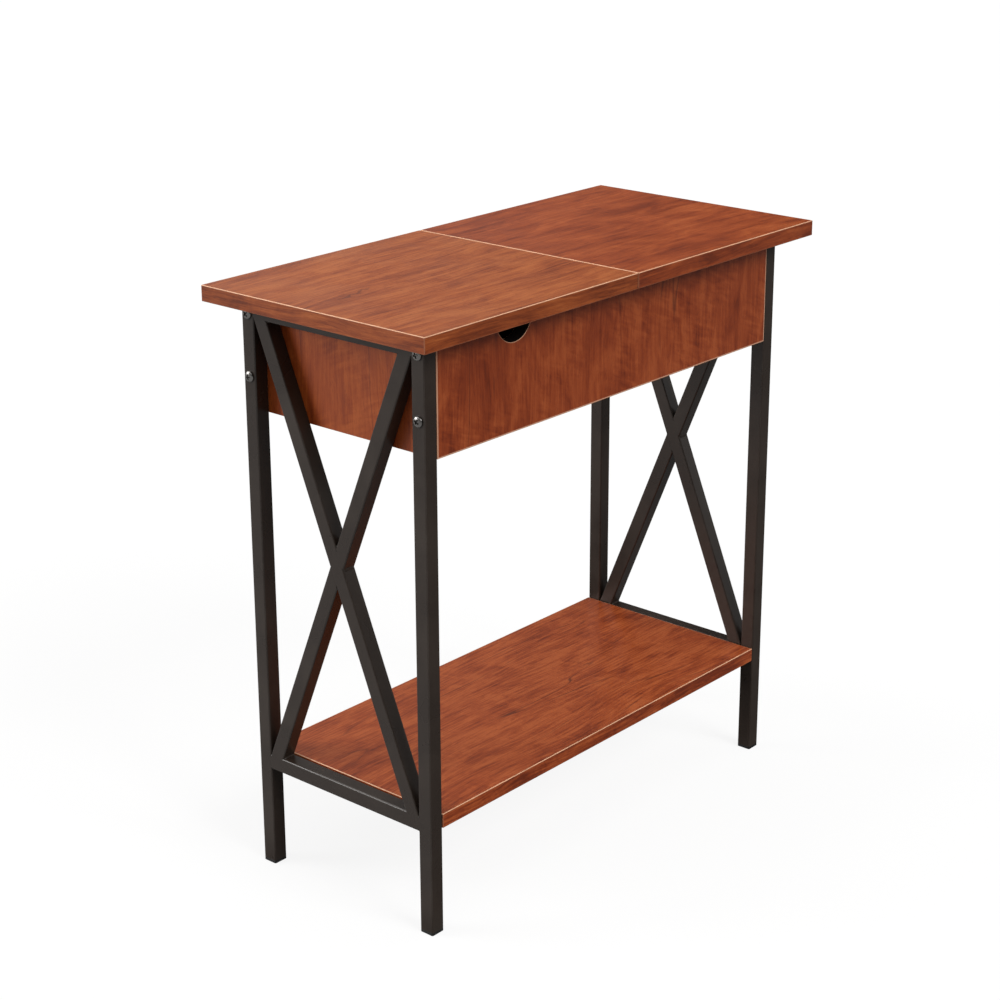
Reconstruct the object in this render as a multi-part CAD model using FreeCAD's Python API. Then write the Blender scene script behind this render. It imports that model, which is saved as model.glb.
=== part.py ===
import FreeCAD, Part
import math
import os

os.makedirs("parts", exist_ok=True)

V = FreeCAD.Vector

# Narrow end table with a lifting half top, in millimetres.
# X runs along the table, the lid lies on the -X half, Y runs from front to back, Z is up.
# The origin is on the floor under the middle of the top.

# Top
table_length = 603.25
table_depth = 285.75
table_height = 609.6
top_thickness = 16.0
seam_gap = 1.0
end_overhang = 28.0
front_overhang = 27.0
back_overhang = 24.0

# End frames, welded from square steel tube
tube_size = 16.0
tube_wall = 1.2
tube_corner = 1.5
foot_head = 3.0
cap_head = 1.5
foot_stem = 14.0
cap_stem = 6.0
plug_play = 0.2
rail_below_shelf_top = 1.0

# Storage box under the top
box_height = 112.0
board = 15.0
bottom_sheet = 3.0
bottom_rise = 8.0
groove_depth = 6.0
groove_play = 0.15
notch_radius = 25.0

# Shelf
shelf_top_height = 125.0
shelf_thickness = 15.0
shelf_end_gap = 0.8
tab_length = 24.0
tab_width = 24.0
tab_thickness = 2.0
tab_from_leg = 36.0

# Track hinges: an arm with a curved slot rides on two fixed studs, centred on the seam's top edge
lid_open_angle = 95.0
hinge_radius = 45.0
arm_thickness = 3.0
arm_wall = 3.4
arm_top_clearance = 0.7
slot_top_margin = 2.0
rest_play_angle = 1.0
stop_play_angle = 0.3
stud_diameter = 6.0
stud_clearance = 0.08
stud_head_diameter = 9.0
stud_head_height = 2.2
layer_gap = 0.3
plate_thickness = 2.0
plate_margin = 7.0
plate_depth = 24.0
plate_chamfer = 4.0
flange_length = 46.0
flange_width = 18.0
flange_thickness = 3.0
flange_gap = 1.5
gusset_angle = 50.0
gusset_nose = 2.0
arm_run_on = 20.0

# Frame bolts and the brackets of the fixed half
bolt_diameter = 6.0
bolt_head_diameter = 11.0
bolt_crown_diameter = 7.4
bolt_head_height = 3.0
bolt_in_board = 32.0
bolt_clearance = 0.1
upper_bolt_drop = 12.0
bolt_spacing = 62.0
bracket_leg = 20.0
bracket_width = 18.0
bracket_thickness = 2.0
bracket_from_end = 36.0
divider_clearance = 3.0

# Planes that the pieces share
top_under = table_height - top_thickness
frame_outer = table_length / 2 - end_overhang
frame_inner = frame_outer - tube_size
front_face = -table_depth / 2 + front_overhang
back_face = table_depth / 2 - back_overhang
front_board_inner = front_face + board
back_board_inner = back_face - board
middle_y = (front_face + back_face) / 2
box_floor = top_under - box_height
box_end_inner = frame_inner - board
shelf_under = shelf_top_height - shelf_thickness
rail_top = shelf_top_height - rail_below_shelf_top
rail_bottom = rail_top - tube_size
upper_rail_bottom = top_under - tube_size
sheet_bottom = box_floor + bottom_rise
sheet_top = sheet_bottom + bottom_sheet
seam_half = seam_gap / 2
lid_middle = -(table_length / 2 + seam_half) / 2

nodes = {}


def block(x0, x1, y0, y1, z0, z1):
    return Part.makeBox(x1 - x0, y1 - y0, z1 - z0, V(x0, y0, z0))


def rod(start, direction, diameter, length):
    return Part.makeCylinder(diameter / 2, length, start, direction)


def compound(solids):
    return Part.makeCompound(solids)


def edges_along(shape, axis):
    """The straight edges of a block that run along one axis."""
    found = []
    for edge in shape.Edges:
        run = edge.valueAt(edge.LastParameter) - edge.valueAt(edge.FirstParameter)
        if abs(run.dot(axis)) > 0.999 * run.Length:
            found.append(edge)
    return found


def square_bar(length):
    """A bar of the tube's width about the Z axis, standing on Z = 0."""
    return block(-tube_size / 2, tube_size / 2, -tube_size / 2, tube_size / 2, 0, length)


def rounded_bar(length):
    """A bar of the tube's outline, with its four long corners rounded."""
    bar = square_bar(length)
    return bar.makeFillet(tube_corner, edges_along(bar, V(0, 0, 1)))


def upright_tube(length):
    """A square tube about the Z axis, standing on Z = 0."""
    core = tube_size / 2 - tube_wall
    return rounded_bar(length).cut(block(-core, core, -core, core, 0, length))


# End frames ---------------------------------------------------------------

leg_bottom = foot_head
leg_top = top_under - cap_head
leg_ys = {"front": front_face + tube_size / 2, "back": back_face - tube_size / 2}
bolt_heights = [top_under - upper_bolt_drop, top_under - upper_bolt_drop - bolt_spacing]
sides = {"left": -1, "right": 1}


def leg(side, leg_y):
    """An upright with the two cross holes of its bolts."""
    sign = sides[side]
    shape = upright_tube(leg_top - leg_bottom)
    shape.translate(V(sign * (frame_outer - tube_size / 2), leg_y, leg_bottom))
    for height in bolt_heights:
        start = V(sign * frame_outer, leg_y, height)
        shape = shape.cut(rod(start, V(-sign, 0, 0), bolt_diameter + 2 * bolt_clearance, tube_size))
    return shape


def rail(side, bottom):
    """A level tube between the two legs of a frame."""
    length = (back_face - tube_size) - (front_face + tube_size)
    shape = upright_tube(length)
    shape.rotate(V(0, 0, 0), V(1, 0, 0), -90)
    middle_x = sides[side] * (frame_outer - tube_size / 2)
    shape.translate(V(middle_x, front_face + tube_size, bottom + tube_size / 2))
    return shape


brace_low = rail_top
brace_high = upper_rail_bottom
brace_near = front_face + tube_size
brace_far = back_face - tube_size
brace_rise = brace_high - brace_low


def brace_slope():
    """Angle from upright of a brace whose outer edges start in opposite corners."""
    run = brace_far - brace_near
    angle = math.atan(run / brace_rise)
    for step in range(40):
        footprint = tube_size / math.cos(angle)
        angle = math.atan((run - footprint) / brace_rise)
    return angle


def brace(side, lean, hollow=True):
    """A full diagonal, cut level where it lands on the rails. lean is +1 when its top is at the back."""
    angle = brace_slope()
    length = brace_rise / math.cos(angle) + 2 * tube_size
    if hollow:
        shape = upright_tube(length)
    else:
        shape = block(-tube_size, tube_size, -tube_size / 2, tube_size / 2, 0, length)
    shape.translate(V(0, 0, -length / 2))
    shape.rotate(V(0, 0, 0), V(1, 0, 0), -lean * math.degrees(angle))
    middle_x = sides[side] * (frame_outer - tube_size / 2)
    shape.translate(V(middle_x, middle_y, (brace_low + brace_high) / 2))
    level_cut = block(
        middle_x - 2 * tube_size,
        middle_x + 2 * tube_size,
        front_face,
        back_face,
        brace_low,
        brace_high,
    )
    return shape.common(level_cut)


for side in sides:
    for place, leg_y in leg_ys.items():
        nodes[f"{side}_{place}_leg"] = leg(side, leg_y)
    nodes[f"{side}_top_rail"] = rail(side, upper_rail_bottom)
    nodes[f"{side}_bottom_rail"] = rail(side, rail_bottom)
    nodes[f"{side}_brace_through"] = brace(side, 1)
    halves = brace(side, -1).cut(brace(side, 1, hollow=False))
    halves = sorted(halves.Solids, key=lambda solid: solid.CenterOfMass.z)
    nodes[f"{side}_brace_lower_half"] = halves[0]
    nodes[f"{side}_brace_upper_half"] = halves[-1]


def tube_plug(head, stem_length):
    """A moulded plug standing on its head, with a stem that fits in the tube."""
    stem_half = tube_size / 2 - tube_wall - plug_play
    bottom = head.BoundBox.ZMax
    stem = block(-stem_half, stem_half, -stem_half, stem_half, bottom, bottom + stem_length)
    return head.fuse(stem)


feet = []
caps = []
for sign in sides.values():
    for leg_y in leg_ys.values():
        leg_x = sign * (frame_outer - tube_size / 2)
        foot = tube_plug(rounded_bar(foot_head), foot_stem)
        foot.translate(V(leg_x, leg_y, 0))
        feet.append(foot)
        cap_plate = square_bar(cap_head)
        cap_plate = cap_plate.makeChamfer(tube_corner, edges_along(cap_plate, V(0, 0, 1)))
        cap = tube_plug(cap_plate, cap_stem)
        cap.rotate(V(0, 0, 0), V(1, 0, 0), 180)
        cap.translate(V(leg_x, leg_y, top_under))
        caps.append(cap)
nodes["foot_plugs"] = compound(feet)
nodes["leg_top_plugs"] = compound(caps)


# Storage box ----------------------------------------------------------------

divider_left = hinge_radius + divider_clearance
long_boards = {
    "front": (front_face, front_board_inner, 1),
    "back": (back_face, back_board_inner, -1),
}
cross_boards = {
    "left_end_panel": (-frame_inner, box_floor),
    "right_end_panel": (frame_inner - board, box_floor),
    "divider": (divider_left, sheet_top),
}

# The bottom sheet slides in grooves of the four outer boards.
sheet_x = box_end_inner + groove_depth
sheet_y0 = front_board_inner - groove_depth
sheet_y1 = back_board_inner + groove_depth
nodes["box_bottom"] = block(-sheet_x, sheet_x, sheet_y0, sheet_y1, sheet_bottom, sheet_top)
groove = block(
    -sheet_x - groove_play,
    sheet_x + groove_play,
    sheet_y0 - groove_play,
    sheet_y1 + groove_play,
    sheet_bottom,
    sheet_top + groove_play,
)

for place, (outer_y, inner_y, inward) in long_boards.items():
    y0, y1 = sorted((outer_y, inner_y))
    panel = block(-frame_inner, frame_inner, y0, y1, box_floor, top_under).cut(groove)
    if place == "front":
        notch = rod(V(lid_middle, y0, top_under), V(0, 1, 0), 2 * notch_radius, board)
        panel = panel.cut(notch)
    for sign in sides.values():
        for height in bolt_heights:
            board_end = V(sign * frame_inner, leg_ys[place], height)
            thread = rod(board_end, V(-sign, 0, 0), bolt_diameter + 2 * bolt_clearance, bolt_in_board)
            panel = panel.cut(thread)
    nodes[f"{place}_panel"] = panel

for name, (board_x, bottom) in cross_boards.items():
    panel = block(board_x, board_x + board, front_board_inner, back_board_inner, bottom, top_under)
    nodes[name] = panel.cut(groove)


def frame_bolt(seat, direction):
    """A pan-headed bolt: its head sits on seat and its shank runs along direction."""
    shank = rod(seat, direction, bolt_diameter, tube_size + bolt_in_board)
    crown = seat - direction * bolt_head_height
    head = Part.makeCone(bolt_crown_diameter / 2, bolt_head_diameter / 2, bolt_head_height, crown, direction)
    return head.fuse(shank)


bolts = []
for sign in sides.values():
    for leg_y in leg_ys.values():
        for height in bolt_heights:
            bolts.append(frame_bolt(V(sign * frame_outer, leg_y, height), V(-sign, 0, 0)))
nodes["frame_bolts"] = compound(bolts)

# Track hinges ---------------------------------------------------------------

# Angles are measured about the seam's top edge, from straight down towards the lid.
slot_half = stud_diameter / 2 + stud_clearance
arm_half = slot_half + arm_wall
slot_left = math.degrees(math.acos((top_thickness + slot_half + slot_top_margin) / hinge_radius))
slot_right = -math.degrees(math.acos((top_thickness + arm_top_clearance + arm_half) / hinge_radius))
stud_angles = [slot_left - rest_play_angle, slot_right + lid_open_angle + stop_play_angle]


def swing(angle, radius):
    """The point at an angle and radius about the hinge axis, as x and z."""
    turn = math.radians(angle)
    return (-radius * math.sin(turn), table_height - radius * math.cos(turn))


def sheet_metal(points, y0, y1):
    """A flat plate between two Y planes with a straight-sided outline in X and Z."""
    corners = [V(x, y0, z) for x, z in points]
    face = Part.Face(Part.makePolygon(corners + [corners[0]]))
    return face.extrude(V(0, y1 - y0, 0))


def pin_at(x, z, y0, y1, diameter):
    return rod(V(x, y0, z), V(0, 1, 0), diameter, y1 - y0)


def curved_band(first_angle, last_angle, half_width, y0, y1):
    """A ring segment about the hinge axis with round ends, cut out by a wedge that reaches past it."""
    outer = pin_at(0, table_height, y0, y1, 2 * (hinge_radius + half_width))
    inner = pin_at(0, table_height, y0, y1, 2 * (hinge_radius - half_width))
    reach = 3 * hinge_radius
    middle_angle = (first_angle + last_angle) / 2
    wedge = sheet_metal(
        [(0, table_height)] + [swing(a, reach) for a in (first_angle, middle_angle, last_angle)],
        y0,
        y1,
    )
    band = outer.cut(inner).common(wedge)
    for angle in (first_angle, last_angle):
        x, z = swing(angle, hinge_radius)
        band = band.fuse(pin_at(x, z, y0, y1, 2 * half_width))
    return band.removeSplitter()


def layers(inner_y, inward, near, far):
    """The Y limits of a layer that lies near to far away from a board's inner face."""
    return sorted((inner_y + inward * near, inner_y + inward * far))


arm_near = plate_thickness + layer_gap
arm_far = arm_near + arm_thickness
head_near = arm_far + layer_gap
stud_1 = swing(stud_angles[0], hinge_radius)
stud_2 = swing(stud_angles[1], hinge_radius)
flange_right = stud_1[0] - stud_head_diameter / 2 - flange_gap
flange_left = flange_right - flange_length
flange_bottom = top_under - flange_thickness

plate_x0 = stud_1[0] - plate_margin
plate_x1 = stud_2[0] + 2 * plate_margin
plate_z1 = top_under - arm_top_clearance
plate_z0 = stud_2[1] - plate_depth


def hinge_arm(inner_y, inward):
    """The moving arm: slotted arc, gusset and the flange under the lid."""
    y0, y1 = layers(inner_y, inward, arm_near, arm_far)
    band = curved_band(slot_right, slot_left + arm_run_on, arm_half, y0, y1)
    arm = band.common(block(-frame_inner, frame_inner, y0, y1, box_floor, top_under))
    gusset = [
        (flange_left, top_under),
        (flange_left, flange_bottom - gusset_nose),
        swing(gusset_angle, hinge_radius + arm_half),
        swing(gusset_angle, hinge_radius),
        (-math.sqrt(hinge_radius ** 2 - top_thickness ** 2), top_under),
    ]
    arm = arm.fuse(sheet_metal(gusset, y0, y1))
    f0, f1 = layers(inner_y, inward, arm_near, arm_near + flange_width)
    arm = arm.fuse(block(flange_left, flange_right, f0, f1, flange_bottom, top_under))
    slot = curved_band(slot_right, slot_left, slot_half, y0, y1)
    return arm.removeSplitter().cut(slot)


def hinge_plate(inner_y, inward):
    """The fixed plate that carries the two studs."""
    y0, y1 = layers(inner_y, inward, 0, plate_thickness)
    plate = block(plate_x0, plate_x1, y0, y1, plate_z0, plate_z1)
    return plate.makeChamfer(plate_chamfer, edges_along(plate, V(0, 1, 0)))


def hinge_stud(x, z, inner_y, inward):
    """A stud welded to the plate, with a head that keeps the arm on."""
    s0, s1 = layers(inner_y, inward, plate_thickness, head_near)
    h0, h1 = layers(inner_y, inward, head_near, head_near + stud_head_height)
    shank = pin_at(x, z, s0, s1, stud_diameter)
    return shank.fuse(pin_at(x, z, h0, h1, stud_head_diameter))


studs = []
for place, (outer_y, inner_y, inward) in long_boards.items():
    nodes[f"hinge_arm_{place}"] = hinge_arm(inner_y, inward)
    nodes[f"hinge_plate_{place}"] = hinge_plate(inner_y, inward)
    for x, z in (stud_1, stud_2):
        studs.append(hinge_stud(x, z, inner_y, inward))
nodes["hinge_studs"] = compound(studs)

# Tops -------------------------------------------------------------------------

half_depth = table_depth / 2
nodes["lid"] = block(-table_length / 2, -seam_half, -half_depth, half_depth, top_under, table_height)
nodes["fixed_top"] = block(seam_half, table_length / 2, -half_depth, half_depth, top_under, table_height)

# Four angle brackets hold the fixed half from inside the closed end of the box.
brackets = []
for x in (divider_left + board + bracket_from_end, box_end_inner - bracket_from_end):
    for outer_y, inner_y, inward in long_boards.values():
        x0 = x - bracket_width / 2
        x1 = x + bracket_width / 2
        a0, a1 = layers(inner_y, inward, 0, bracket_thickness)
        b0, b1 = layers(inner_y, inward, 0, bracket_leg)
        upright = block(x0, x1, a0, a1, top_under - bracket_leg, top_under)
        level = block(x0, x1, b0, b1, top_under - bracket_thickness, top_under)
        brackets.append(upright.fuse(level).removeSplitter())
nodes["top_brackets"] = compound(brackets)

# Shelf --------------------------------------------------------------------------

nodes["shelf"] = block(
    -frame_inner + shelf_end_gap,
    frame_inner - shelf_end_gap,
    front_face,
    back_face,
    shelf_under,
    shelf_top_height,
)

# Tabs welded to the inner faces of the lower rails carry the shelf.
tabs = []
for sign in sides.values():
    x0, x1 = sorted((sign * frame_inner, sign * (frame_inner - tab_length)))
    for tab_y in (brace_near + tab_from_leg, brace_far - tab_from_leg):
        y0 = tab_y - tab_width / 2
        tabs.append(block(x0, x1, y0, y0 + tab_width, shelf_under - tab_thickness, shelf_under))
nodes["shelf_tabs"] = compound(tabs)

for name, shape in nodes.items():
    shape.exportStep(f"parts/{name}.step")

volumes = {name: shape.Volume for name, shape in nodes.items()}
print("nodes", len(nodes), "solids", sum(len(shape.Solids) for shape in nodes.values()))
print("stud angles", [round(angle, 1) for angle in stud_angles])
print("invalid", [name for name, shape in nodes.items() if not shape.isValid()])
print("flat", [name for name, volume in volumes.items() if volume <= 0])
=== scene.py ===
import bmesh
import bpy
import math
import numpy as np
from mathutils import Matrix, Vector


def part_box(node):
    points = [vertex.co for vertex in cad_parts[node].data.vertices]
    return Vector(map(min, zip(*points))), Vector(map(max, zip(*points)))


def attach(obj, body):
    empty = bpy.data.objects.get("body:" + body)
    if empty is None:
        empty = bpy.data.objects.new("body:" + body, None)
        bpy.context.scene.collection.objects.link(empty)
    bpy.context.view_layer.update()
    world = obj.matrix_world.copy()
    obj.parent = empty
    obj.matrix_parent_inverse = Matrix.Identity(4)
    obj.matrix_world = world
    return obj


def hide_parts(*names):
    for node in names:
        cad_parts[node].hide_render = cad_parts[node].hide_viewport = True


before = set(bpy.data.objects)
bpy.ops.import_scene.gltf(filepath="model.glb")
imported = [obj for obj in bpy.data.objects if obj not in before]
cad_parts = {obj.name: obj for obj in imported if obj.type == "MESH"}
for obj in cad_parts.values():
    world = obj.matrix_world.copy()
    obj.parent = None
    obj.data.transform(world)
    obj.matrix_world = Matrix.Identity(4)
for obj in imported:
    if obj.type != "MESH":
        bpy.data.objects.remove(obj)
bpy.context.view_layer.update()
mm = 0.001

# Narrow end table with a lifting half top. Metres, X along the table, the lid on the -X half, Z up.
tableBody = "table"
lidBody = "lid_leaf"


def sayStage(words):
    print("end table:", words)


def addObject(name, data):
    made = bpy.data.objects.new(name, data)
    bpy.context.scene.collection.objects.link(made)
    return made


# Camera, fitted to the corners of the table's tops, legs and shelf
cameraView = {
    "place": (-1.635728, -1.388073, 1.117852),
    "yaw": 0.860072,  # turned from +Y towards +X
    "pitch": 0.327467,  # looking down
    "roll": -0.002264,
    "focalPixels": 2201.25,
    "imageSide": 1000.0,
    "centre": (510.0, 460.0),  # where the axis meets the image
    "sensor": 36.0,
}


def placeCamera(view):
    # forward = yaw and pitch as a direction; right is level, then both lateral axes turn by the roll
    yaw, pitch, roll = view["yaw"], view["pitch"], view["roll"]
    forward = Vector((math.sin(yaw) * math.cos(pitch), math.cos(yaw) * math.cos(pitch), -math.sin(pitch)))
    level = Vector((math.cos(yaw), -math.sin(yaw), 0.0))
    rise = level.cross(forward)
    right = level * math.cos(roll) + rise * math.sin(roll)
    up = -level * math.sin(roll) + rise * math.cos(roll)
    data = bpy.data.cameras.new("tableCamera")
    data.sensor_width = view["sensor"]
    data.lens = view["focalPixels"] * view["sensor"] / view["imageSide"]
    data.shift_x = 0.5 - view["centre"][0] / view["imageSide"]
    data.shift_y = view["centre"][1] / view["imageSide"] - 0.5
    data.clip_start = 0.05
    data.clip_end = 100.0
    camera = addObject("tableCamera", data)
    turn = Matrix((right, up, -forward)).transposed().to_4x4()
    camera.matrix_world = Matrix.Translation(Vector(view["place"])) @ turn
    bpy.context.scene.camera = camera


placeCamera(cameraView)
sayStage("camera placed")


# Nodes. A value may be a socket, which is linked, or a number or a colour without its alpha, which is set.


def setOrLink(tree, socket, value):
    if isinstance(value, bpy.types.NodeSocket):
        tree.links.new(value, socket)
    else:
        socket.default_value = (*value, 1.0) if isinstance(value, tuple) else value


def addNode(tree, kind, props=None, **sockets):
    # one node; props are its settings and every other keyword is the value of the socket with that name
    node = tree.nodes.new(kind)
    for name, value in (props or {}).items():
        setattr(node, name, value)
    for name, value in sockets.items():
        node.inputs[name].default_value = value
    return node


def mathNode(tree, operation, *values):
    node = addNode(tree, "ShaderNodeMath", {"operation": operation})
    for socket, value in zip(node.inputs, values):
        setOrLink(tree, socket, value)
    return node.outputs[0]


def plus(tree, first, second):
    return mathNode(tree, "ADD", first, second)


def times(tree, first, second):
    return mathNode(tree, "MULTIPLY", first, second)


def minus(tree, first, second):
    return mathNode(tree, "SUBTRACT", first, second)


def weighted(tree, base, masks, weights):
    # base plus each mask that the weights name, times its weight
    for name, weight in weights.items():
        base = mathNode(tree, "MULTIPLY_ADD", masks[name], weight, base)
    return base


def rampBetween(tree, value, low, high, toLow=0.0, toHigh=1.0):
    # smooth step from toLow to toHigh as the value goes from low to high
    node = addNode(tree, "ShaderNodeMapRange", {"interpolation_type": "SMOOTHSTEP"})
    limits = {"Value": value, "From Min": low, "From Max": high, "To Min": toLow, "To Max": toHigh}
    for name, limit in limits.items():
        setOrLink(tree, node.inputs[name], limit)
    return node.outputs["Result"]


def combine(tree, *parts):
    node = tree.nodes.new("ShaderNodeCombineXYZ")
    for socket, part in zip(node.inputs, parts):
        setOrLink(tree, socket, part)
    return node.outputs[0]


def split(tree, vector):
    node = tree.nodes.new("ShaderNodeSeparateXYZ")
    tree.links.new(vector, node.inputs[0])
    return node.outputs


def scaled(tree, vector, size):
    node = addNode(tree, "ShaderNodeVectorMath", {"operation": "SCALE"})
    tree.links.new(vector, node.inputs[0])
    tree.links.new(size, node.inputs["Scale"])
    return node.outputs[0]


def noiseAt(tree, vector, detail=2.0, roughness=0.5, distortion=0.0):
    # value noise at a vector that is already scaled
    settings = {"Scale": 1.0, "Detail": detail, "Roughness": roughness, "Distortion": distortion}
    node = addNode(tree, "ShaderNodeTexNoise", **settings)
    tree.links.new(vector, node.inputs["Vector"])
    return node.outputs["Fac"]


def drawnNoise(tree, places, scale, *settings):
    # noise drawn out along the axes with the smaller scales
    stretch = addNode(tree, "ShaderNodeMapping", Scale=scale)
    tree.links.new(places["Object"], stretch.inputs["Vector"])
    return noiseAt(tree, stretch.outputs["Vector"], *settings)


def mixColours(tree, amount, first, second):
    node = addNode(tree, "ShaderNodeMix", {"data_type": "RGBA", "clamp_factor": True})
    for slot, value in ((0, amount), (6, first), (7, second)):
        setOrLink(tree, node.inputs[slot], value)
    return node.outputs[2]


def newGroup(name, inputs, outputs):
    # inputs: name -> default number, or None for a vector; every output is a number
    group = bpy.data.node_groups.new(name, "ShaderNodeTree")
    for label, value in inputs.items():
        kind = "NodeSocketVector" if value is None else "NodeSocketFloat"
        socket = group.interface.new_socket(label, in_out="INPUT", socket_type=kind)
        if value is not None:
            socket.default_value = value
    for label in outputs:
        group.interface.new_socket(label, in_out="OUTPUT", socket_type="NodeSocketFloat")
    return group, group.nodes.new("NodeGroupInput").outputs, group.nodes.new("NodeGroupOutput").inputs


def putOut(group, put, **values):
    for name, value in values.items():
        group.links.new(value, put[name])


def placeGroup(tree, group, values):
    node = tree.nodes.new("ShaderNodeGroup")
    node.node_tree = group
    for name, value in values.items():
        setOrLink(tree, node.inputs[name], value)
    return node.outputs


def newMaterial(name):
    # the material, its tree, its shader and the piece's own coordinates
    material = bpy.data.materials.new(name)
    material.use_nodes = True
    tree = material.node_tree
    return material, tree, tree.nodes["Principled BSDF"], tree.nodes.new("ShaderNodeTexCoord").outputs


# Effects that several finishes share

squareFrom = 0.7  # a face is square to an axis when its normal's part along it is larger
faceLayers = {"X": 3.7, "Y": 8.3}  # the figure's layer moves so far with the normal: no two faces match


def makeGrainAxes():
    # picks, for the face that the normal names, which coordinate runs along the grain and which across it.
    # Level boards: along X, but along Y on their ends. Standing boards: along Z, but along the edge on top
    # and bottom. Band marks the edge bands of a level board.
    group, given, put = newGroup(
        "grainAxes", {"Place": None, "Facing": None, "Standing": 0.0}, ("Along", "Across", "Layer", "Band")
    )
    x, y, z = split(group, given["Place"])
    facing = split(group, given["Facing"])
    steep = (mathNode(group, "ABSOLUTE", facing[axis]) for axis in (0, 2))
    onX, onZ = (mathNode(group, "GREATER_THAN", part, squareFrom) for part in steep)
    standing = given["Standing"]
    notX, notZ, level = (minus(group, 1.0, mask) for mask in (onX, onZ, standing))

    def pick(mask, other, first, second):
        return mathNode(group, "MULTIPLY_ADD", mask, first, times(group, other, second))

    sideways = pick(onX, notX, y, x)
    putOut(
        group,
        put,
        Along=pick(standing, level, pick(onZ, notZ, x, z), sideways),
        Across=pick(standing, level, pick(onZ, notZ, y, sideways), pick(onZ, notZ, y, z)),
        Layer=weighted(group, 0.0, facing, faceLayers),
        Band=times(group, level, notZ),
    )
    return group


# Noises of the cherry print: scale along and across the grain, layer, detail, roughness, distortion
cherryFields = {
    "drift": (4.2, 13.0, 0.0, 2.0, 0.50, 0.0),
    "clouds": (14.0, 31.0, 11.0, 6.0, 0.62, 0.9),
    "flames": (6.5, 125.0, 23.0, 5.0, 0.66, 0.25),
    "fibres": (19.0, 430.0, 31.0, 4.0, 0.78, 0.0),
    "veins": (1.9, 17.0, 47.0, 2.0, 0.40, 0.0),
    "veinParts": (14.0, 30.0, 0.0, 2.0, 0.50, 0.0),
    "pores": (190.0, 1900.0, 59.0, 1.0, 0.50, 0.0),
    "curl": (185.0, 46.0, 67.0, 2.0, 0.45, 0.5),
    "curlParts": (17.0, 24.0, 83.0, 1.0, 0.50, 0.0),
    "wander": (95.0, 0.0, 71.0, 2.0, 0.60, 0.0),
    "thickness": (150.0, 0.0, 79.0, 1.0, 0.50, 0.0),
}
# Lengths in metres and shares that shape its lines
cherryLines = {
    "drift": 0.034,  # how far the grain wanders across
    "knotReach": (0.034, 0.013),  # how far along and across the knot bends the grain
    "knotPush": -0.60,
    "veinWidth": 0.007,
    "curlLean": 75.0 / 185.0,
    "wispLean": 0.24,
    "wispWander": 0.016,
    "wispThick": 0.0054,
    "wispThin": -0.0009,
    "heights": {"fibres": 0.35, "pores": -0.65},
}
# Values of a noise or mask between which a smooth step brings it in; the wisp's are shares of its thickness
maskRanges = {
    "curlParts": (0.36, 0.66),
    "veinParts": (0.40, 0.62),
    "pores": (0.62, 0.74),
    "knot": (0.30, 0.75),
    "wisp": (0.4, 1.4),
    "patches": (0.35, 0.7),
    "speckle": (0.55, 0.75),
}
figureWeights = ("Cloud", "Flame", "Curl", "Fibre")


def makeCherryFigure():
    # printed cherry: soft clouds, flame streaks bent round a knot, fine fibres, curl across the grain in
    # patches, dark veins and short pores. Along and across are in metres; the weights are per board.
    group, given, put = newGroup(
        "cherryFigure",
        dict.fromkeys(("Along", "Across", "Layer", "Knot Along", "Knot Across", *figureWeights), 0.0),
        ("Tone", "Vein", "Pore", "Knot", "Height"),
    )
    along, across = given["Along"], given["Across"]

    def offset(first, second):
        return mathNode(group, "ABSOLUTE", minus(group, first, second))

    def swing(value, weight):
        # a noise made to go both ways about 0, times its weight
        return times(group, minus(group, value, 0.5), weight)

    def field(name, onAlong, onAcross):
        alongScale, acrossScale, layer, *settings = cherryFields[name]
        layer = plus(group, given["Layer"], layer)
        spot = combine(group, times(group, onAlong, alongScale), times(group, onAcross, acrossScale), layer)
        return noiseAt(group, spot, *settings)

    def maskOf(name, onAlong, onAcross):
        return rampBetween(group, field(name, onAlong, onAcross), *maskRanges[name])

    # the grain bends round the knot: a push across that falls off as a bell about its centre
    fromKnot = [minus(group, along, given["Knot Along"]), minus(group, across, given["Knot Across"])]
    shares = [times(group, part, 1.0 / reach) for part, reach in zip(fromKnot, cherryLines["knotReach"])]
    spread = plus(group, *(times(group, share, share) for share in shares))
    bell = mathNode(group, "EXPONENT", times(group, spread, -1.0))
    push = times(group, times(group, bell, fromKnot[1]), cherryLines["knotPush"])
    drift = swing(field("drift", along, across), cherryLines["drift"])
    bent = plus(group, plus(group, across, push), drift)

    clouds, flames, fibres = (field(name, along, bent) for name in ("clouds", "flames", "fibres"))
    curl = field("curl", plus(group, along, times(group, across, cherryLines["curlLean"])), across)
    tone = times(group, swing(curl, given["Curl"]), maskOf("curlParts", along, across))
    for noise, weight in ((clouds, "Cloud"), (flames, "Flame"), (fibres, "Fibre")):
        tone = plus(group, tone, swing(noise, given[weight]))
    fromVein = offset(field("veins", along, bent), 0.5)
    veins = rampBetween(group, fromVein, 0.0, cherryLines["veinWidth"], 1.0, 0.0)
    pores = maskOf("pores", along, bent)
    # the knot is one thin dark wisp: a line that leans and wanders through the bell's middle
    wander = swing(field("wander", along, across), cherryLines["wispWander"])
    line = plus(group, times(group, fromKnot[0], cherryLines["wispLean"]), wander)
    offLine = offset(fromKnot[1], line)
    thick = field("thickness", along, across)
    thick = mathNode(group, "MULTIPLY_ADD", thick, cherryLines["wispThick"], cherryLines["wispThin"])
    wisp = rampBetween(group, mathNode(group, "DIVIDE", offLine, thick), *maskRanges["wisp"], 1.0, 0.0)
    putOut(
        group,
        put,
        Tone=plus(group, tone, 0.5),
        Vein=times(group, veins, maskOf("veinParts", along, across)),
        Pore=pores,
        Knot=times(group, wisp, rampBetween(group, bell, *maskRanges["knot"])),
        Height=weighted(group, 0.0, {"fibres": fibres, "pores": pores}, cherryLines["heights"]),
    )
    return group


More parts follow.
